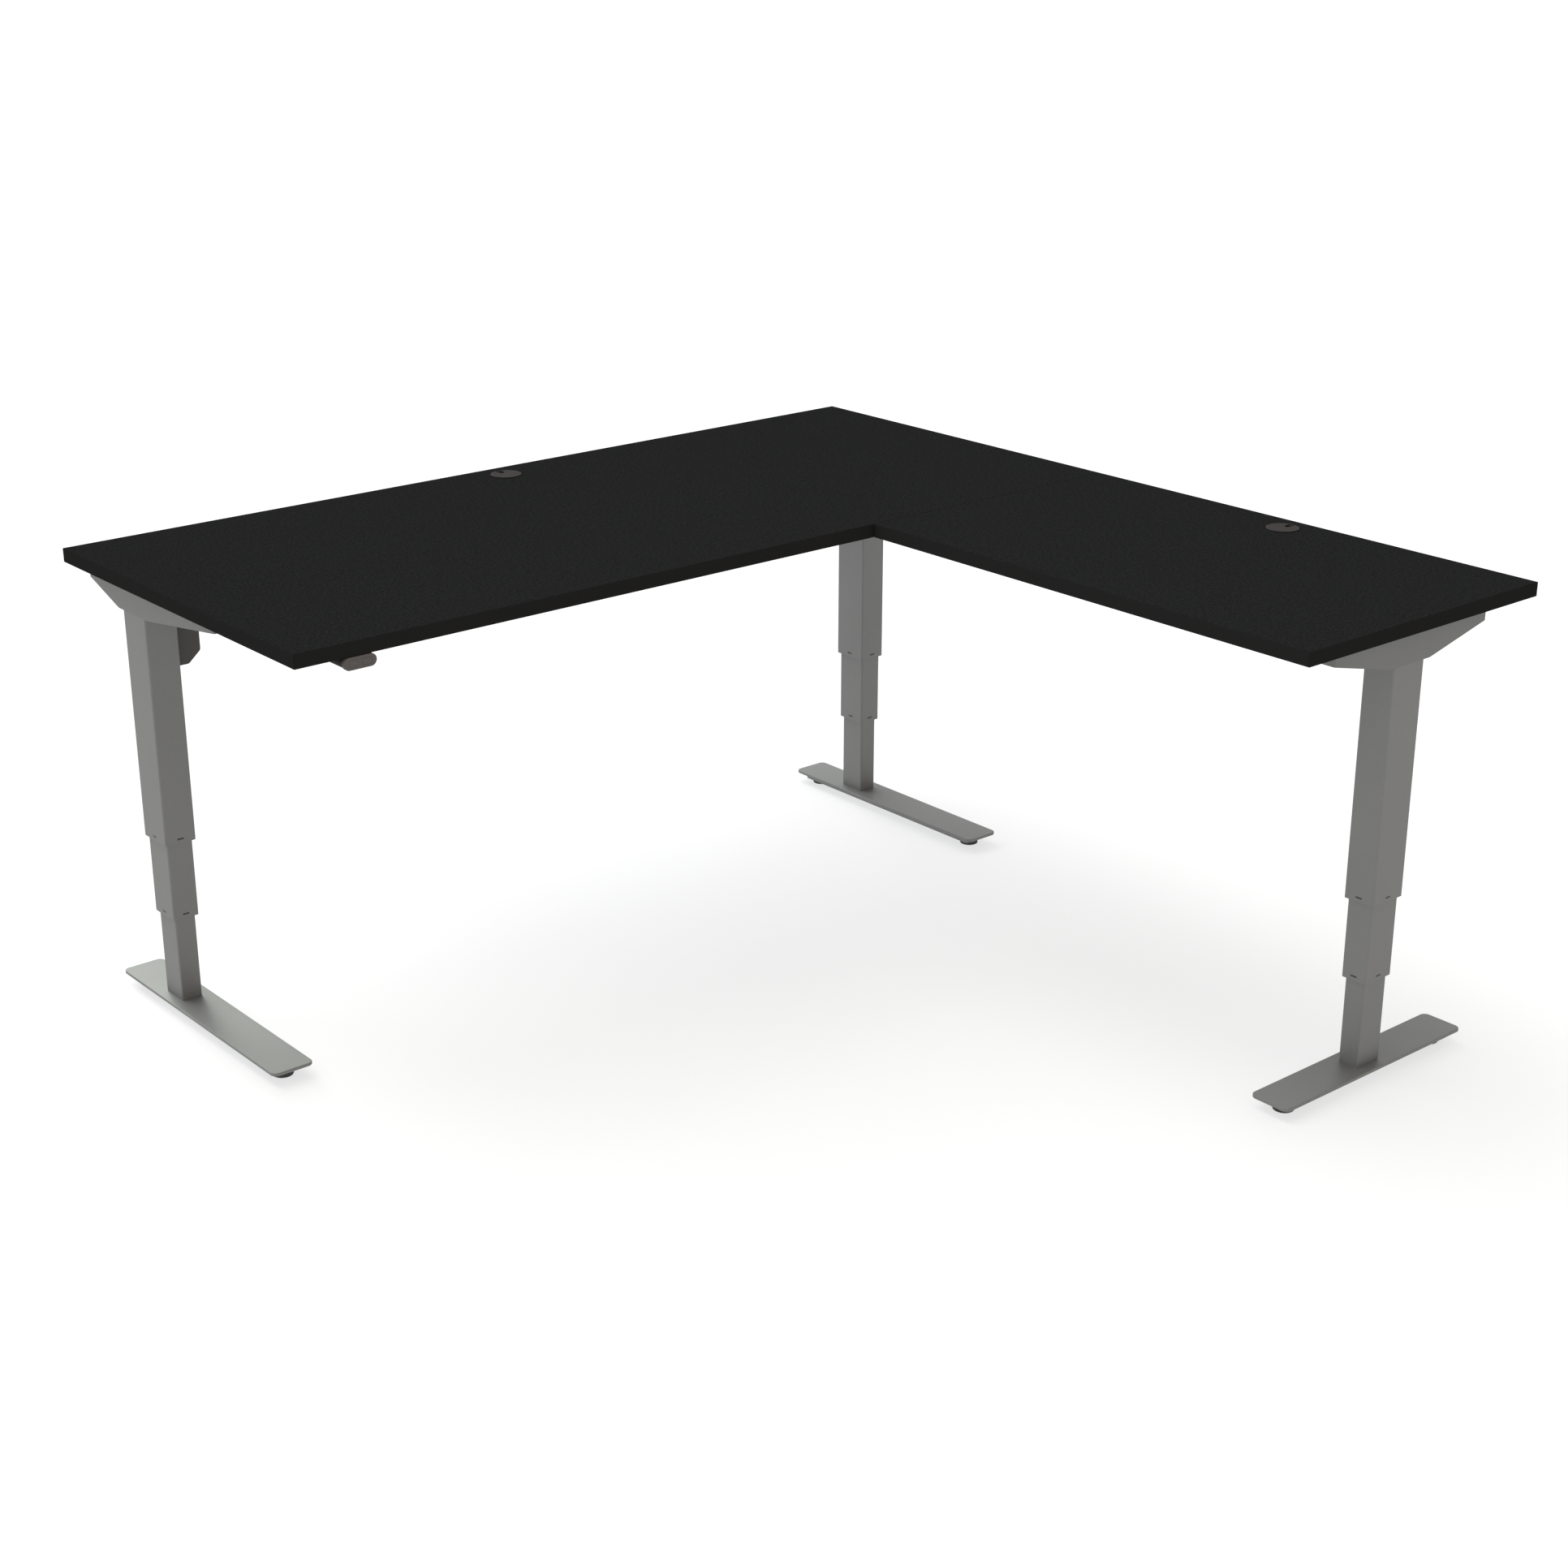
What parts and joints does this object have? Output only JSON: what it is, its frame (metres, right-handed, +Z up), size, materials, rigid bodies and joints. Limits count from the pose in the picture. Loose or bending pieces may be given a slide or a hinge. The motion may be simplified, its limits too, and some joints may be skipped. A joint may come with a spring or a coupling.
{
  "type": "height adjustable standing desk",
  "caption": "L-shaped height adjustable desk with a main top and a return on telescopic motor columns, flat feet with levellers, a push-button handset and cable grommets.",
  "frame": {"origin": "on the floor, under the centre of the desk's rectangular outline", "axes": "+Z up, +X along the main desk towards the corner leg, +Y towards the long back edge; the return runs along -Y"},
  "size_m": [1.8, 1.8, 0.849],
  "materials": {
    "worktop_laminate": "matt, finely speckled",
    "frame_paint": "satin powder coat",
    "bracket_paint": "satin powder coat",
    "glide_plastic": "matt",
    "leveller_black": "matt black coating",
    "handset_plastic": "matt",
    "handset_button": "matt",
    "box_plastic": "matt",
    "circuit_board": "satin",
    "grommet_plastic": "satin",
    "motor_steel": "zinc plated",
    "spindle_steel": "rolled thread",
    "nut_plastic": "matt",
    "screw_steel": "black zinc",
    "rail_steel": "satin powder coat"
  },
  "bodies": {
    "corner_foot": {"corner_inner_tube": "frame_paint", "corner_inner_glides": "glide_plastic", "corner_drive_nut": "nut_plastic", "corner_foot": "frame_paint", "corner_foot_bolts": "screw_steel"},
    "left_foot": {"left_inner_tube": "frame_paint", "left_inner_glides": "glide_plastic", "left_drive_nut": "nut_plastic", "left_foot": "frame_paint", "left_foot_bolts": "screw_steel"},
    "right_foot": {"right_inner_tube": "frame_paint", "right_inner_glides": "glide_plastic", "right_drive_nut": "nut_plastic", "right_foot": "frame_paint", "right_foot_bolts": "screw_steel"},
    "left_middle": {"left_middle_tube": "frame_paint", "left_middle_glides": "glide_plastic", "left_drive_carrier": "motor_steel"},
    "corner_middle": {"corner_middle_tube": "frame_paint", "corner_middle_glides": "glide_plastic", "corner_drive_carrier": "motor_steel"},
    "right_middle": {"right_middle_tube": "frame_paint", "right_middle_glides": "glide_plastic", "right_drive_carrier": "motor_steel"},
    "desk_top": {"left_bracket": "bracket_paint", "left_outer_tube": "frame_paint", "left_motor": "motor_steel", "corner_bracket": "bracket_paint", "corner_outer_tube": "frame_paint", "corner_motor": "motor_steel", "right_bracket": "bracket_paint", "right_outer_tube": "frame_paint", "right_motor": "motor_steel", "outer_glides": "glide_plastic", "main_top": "worktop_laminate", "return_top": "worktop_laminate", "frame_rails": "rail_steel", "top_screws": "screw_steel", "grommet_liners": "grommet_plastic", "control_box_case": "box_plastic", "control_box_cover": "box_plastic", "control_board": "circuit_board", "handset_case": "handset_plastic", "handset_front": "handset_plastic"},
    "left_spindle": {"left_spindle": "spindle_steel"},
    "left_hollow_spindle": {"left_hollow_spindle": "spindle_steel"},
    "left_front_leveller": {"left_front_leveller": "leveller_black"},
    "left_rear_leveller": {"left_rear_leveller": "leveller_black"},
    "corner_spindle": {"corner_spindle": "spindle_steel"},
    "corner_hollow_spindle": {"corner_hollow_spindle": "spindle_steel"},
    "corner_front_leveller": {"corner_front_leveller": "leveller_black"},
    "corner_rear_leveller": {"corner_rear_leveller": "leveller_black"},
    "right_spindle": {"right_spindle": "spindle_steel"},
    "right_hollow_spindle": {"right_hollow_spindle": "spindle_steel"},
    "right_front_leveller": {"right_front_leveller": "leveller_black"},
    "right_rear_leveller": {"right_rear_leveller": "leveller_black"},
    "up_button": {"up_button": "handset_button"},
    "down_button": {"down_button": "handset_button"},
    "main_grommet_cap": {"main_grommet_cap": "grommet_plastic"},
    "return_grommet_cap": {"return_grommet_cap": "grommet_plastic"}
  },
  "joints": [
    {"name": "corner_lower_stage", "type": "slide", "parent": "corner_foot", "child": "corner_middle", "axis": [0, 0, 1], "range_m": [-0.0985, 0.2015]},
    {"name": "corner_upper_stage", "type": "slide", "parent": "corner_middle", "child": "desk_top", "axis": [0, 0, 1], "range_m": [-0.0985, 0.2015]},
    {"name": "left_upper_stage", "type": "slide", "parent": "desk_top", "child": "left_middle", "axis": [0, 0, -1], "range_m": [-0.0985, 0.2015]},
    {"name": "left_lower_stage", "type": "slide", "parent": "left_middle", "child": "left_foot", "axis": [0, 0, -1], "range_m": [-0.0985, 0.2015]},
    {"name": "right_upper_stage", "type": "slide", "parent": "desk_top", "child": "right_middle", "axis": [0, 0, -1], "range_m": [-0.0985, 0.2015]},
    {"name": "right_lower_stage", "type": "slide", "parent": "right_middle", "child": "right_foot", "axis": [0, 0, -1], "range_m": [-0.0985, 0.2015]},
    {"name": "left_spindle_turn", "type": "hinge", "parent": "desk_top", "child": "left_spindle", "pos_m": [-0.831, 0.724, 0.6], "axis": [0, 0, 1], "range_deg": [-4434, 9069]},
    {"name": "left_hollow_spindle_turn", "type": "hinge", "parent": "left_middle", "child": "left_hollow_spindle", "pos_m": [-0.831, 0.724, 0.4], "axis": [0, 0, 1], "range_deg": [-4434, 9069]},
    {"name": "left_front_leveller_screw", "type": "slide", "parent": "left_foot", "child": "left_front_leveller", "axis": [0, 0, -1], "range_m": [0, 0.01]},
    {"name": "left_rear_leveller_screw", "type": "slide", "parent": "left_foot", "child": "left_rear_leveller", "axis": [0, 0, -1], "range_m": [0, 0.01]},
    {"name": "corner_spindle_turn", "type": "hinge", "parent": "desk_top", "child": "corner_spindle", "pos_m": [0.831, 0.724, 0.6], "axis": [0, 0, 1], "range_deg": [-4434, 9069]},
    {"name": "corner_hollow_spindle_turn", "type": "hinge", "parent": "corner_middle", "child": "corner_hollow_spindle", "pos_m": [0.831, 0.724, 0.4], "axis": [0, 0, 1], "range_deg": [-4434, 9069]},
    {"name": "corner_front_leveller_screw", "type": "slide", "parent": "corner_foot", "child": "corner_front_leveller", "axis": [0, 0, -1], "range_m": [0, 0.01]},
    {"name": "corner_rear_leveller_screw", "type": "slide", "parent": "corner_foot", "child": "corner_rear_leveller", "axis": [0, 0, -1], "range_m": [0, 0.01]},
    {"name": "right_spindle_turn", "type": "hinge", "parent": "desk_top", "child": "right_spindle", "pos_m": [0.6, -0.84, 0.6], "axis": [0, 0, 1], "range_deg": [-4434, 9069]},
    {"name": "right_hollow_spindle_turn", "type": "hinge", "parent": "right_middle", "child": "right_hollow_spindle", "pos_m": [0.6, -0.84, 0.4], "axis": [0, 0, 1], "range_deg": [-4434, 9069]},
    {"name": "right_front_leveller_screw", "type": "slide", "parent": "right_foot", "child": "right_front_leveller", "axis": [0, 0, -1], "range_m": [0, 0.01]},
    {"name": "right_rear_leveller_screw", "type": "slide", "parent": "right_foot", "child": "right_rear_leveller", "axis": [0, 0, -1], "range_m": [0, 0.01]},
    {"name": "up_button_press", "type": "slide", "parent": "desk_top", "child": "up_button", "axis": [0, 1, 0], "range_m": [0, 0.001], "stiffness_N_per_m": 1500, "springref_m": -0.0003},
    {"name": "down_button_press", "type": "slide", "parent": "desk_top", "child": "down_button", "axis": [0, 1, 0], "range_m": [0, 0.001], "stiffness_N_per_m": 1500, "springref_m": -0.0003},
    {"name": "main_grommet_cap_turn", "type": "hinge", "parent": "desk_top", "child": "main_grommet_cap", "pos_m": [0, 0.842, 0.847], "axis": [0, 0, 1], "continuous": true},
    {"name": "return_grommet_cap_turn", "type": "hinge", "parent": "desk_top", "child": "return_grommet_cap", "pos_m": [0.843, -0.4, 0.847], "axis": [0, 0, 1], "continuous": true}
  ],
  "couplings": [
    {"joint": "corner_upper_stage", "follows": "corner_lower_stage", "ratio": 1},
    {"joint": "left_upper_stage", "follows": "corner_lower_stage", "ratio": 1},
    {"joint": "left_lower_stage", "follows": "corner_lower_stage", "ratio": 1},
    {"joint": "right_upper_stage", "follows": "corner_lower_stage", "ratio": 1},
    {"joint": "right_lower_stage", "follows": "corner_lower_stage", "ratio": 1},
    {"joint": "left_spindle_turn", "follows": "corner_lower_stage", "rad_per_m": 785.4},
    {"joint": "left_hollow_spindle_turn", "follows": "corner_lower_stage", "rad_per_m": 785.4},
    {"joint": "corner_spindle_turn", "follows": "corner_lower_stage", "rad_per_m": 785.4},
    {"joint": "corner_hollow_spindle_turn", "follows": "corner_lower_stage", "rad_per_m": 785.4},
    {"joint": "right_spindle_turn", "follows": "corner_lower_stage", "rad_per_m": 785.4},
    {"joint": "right_hollow_spindle_turn", "follows": "corner_lower_stage", "rad_per_m": 785.4}
  ]
}
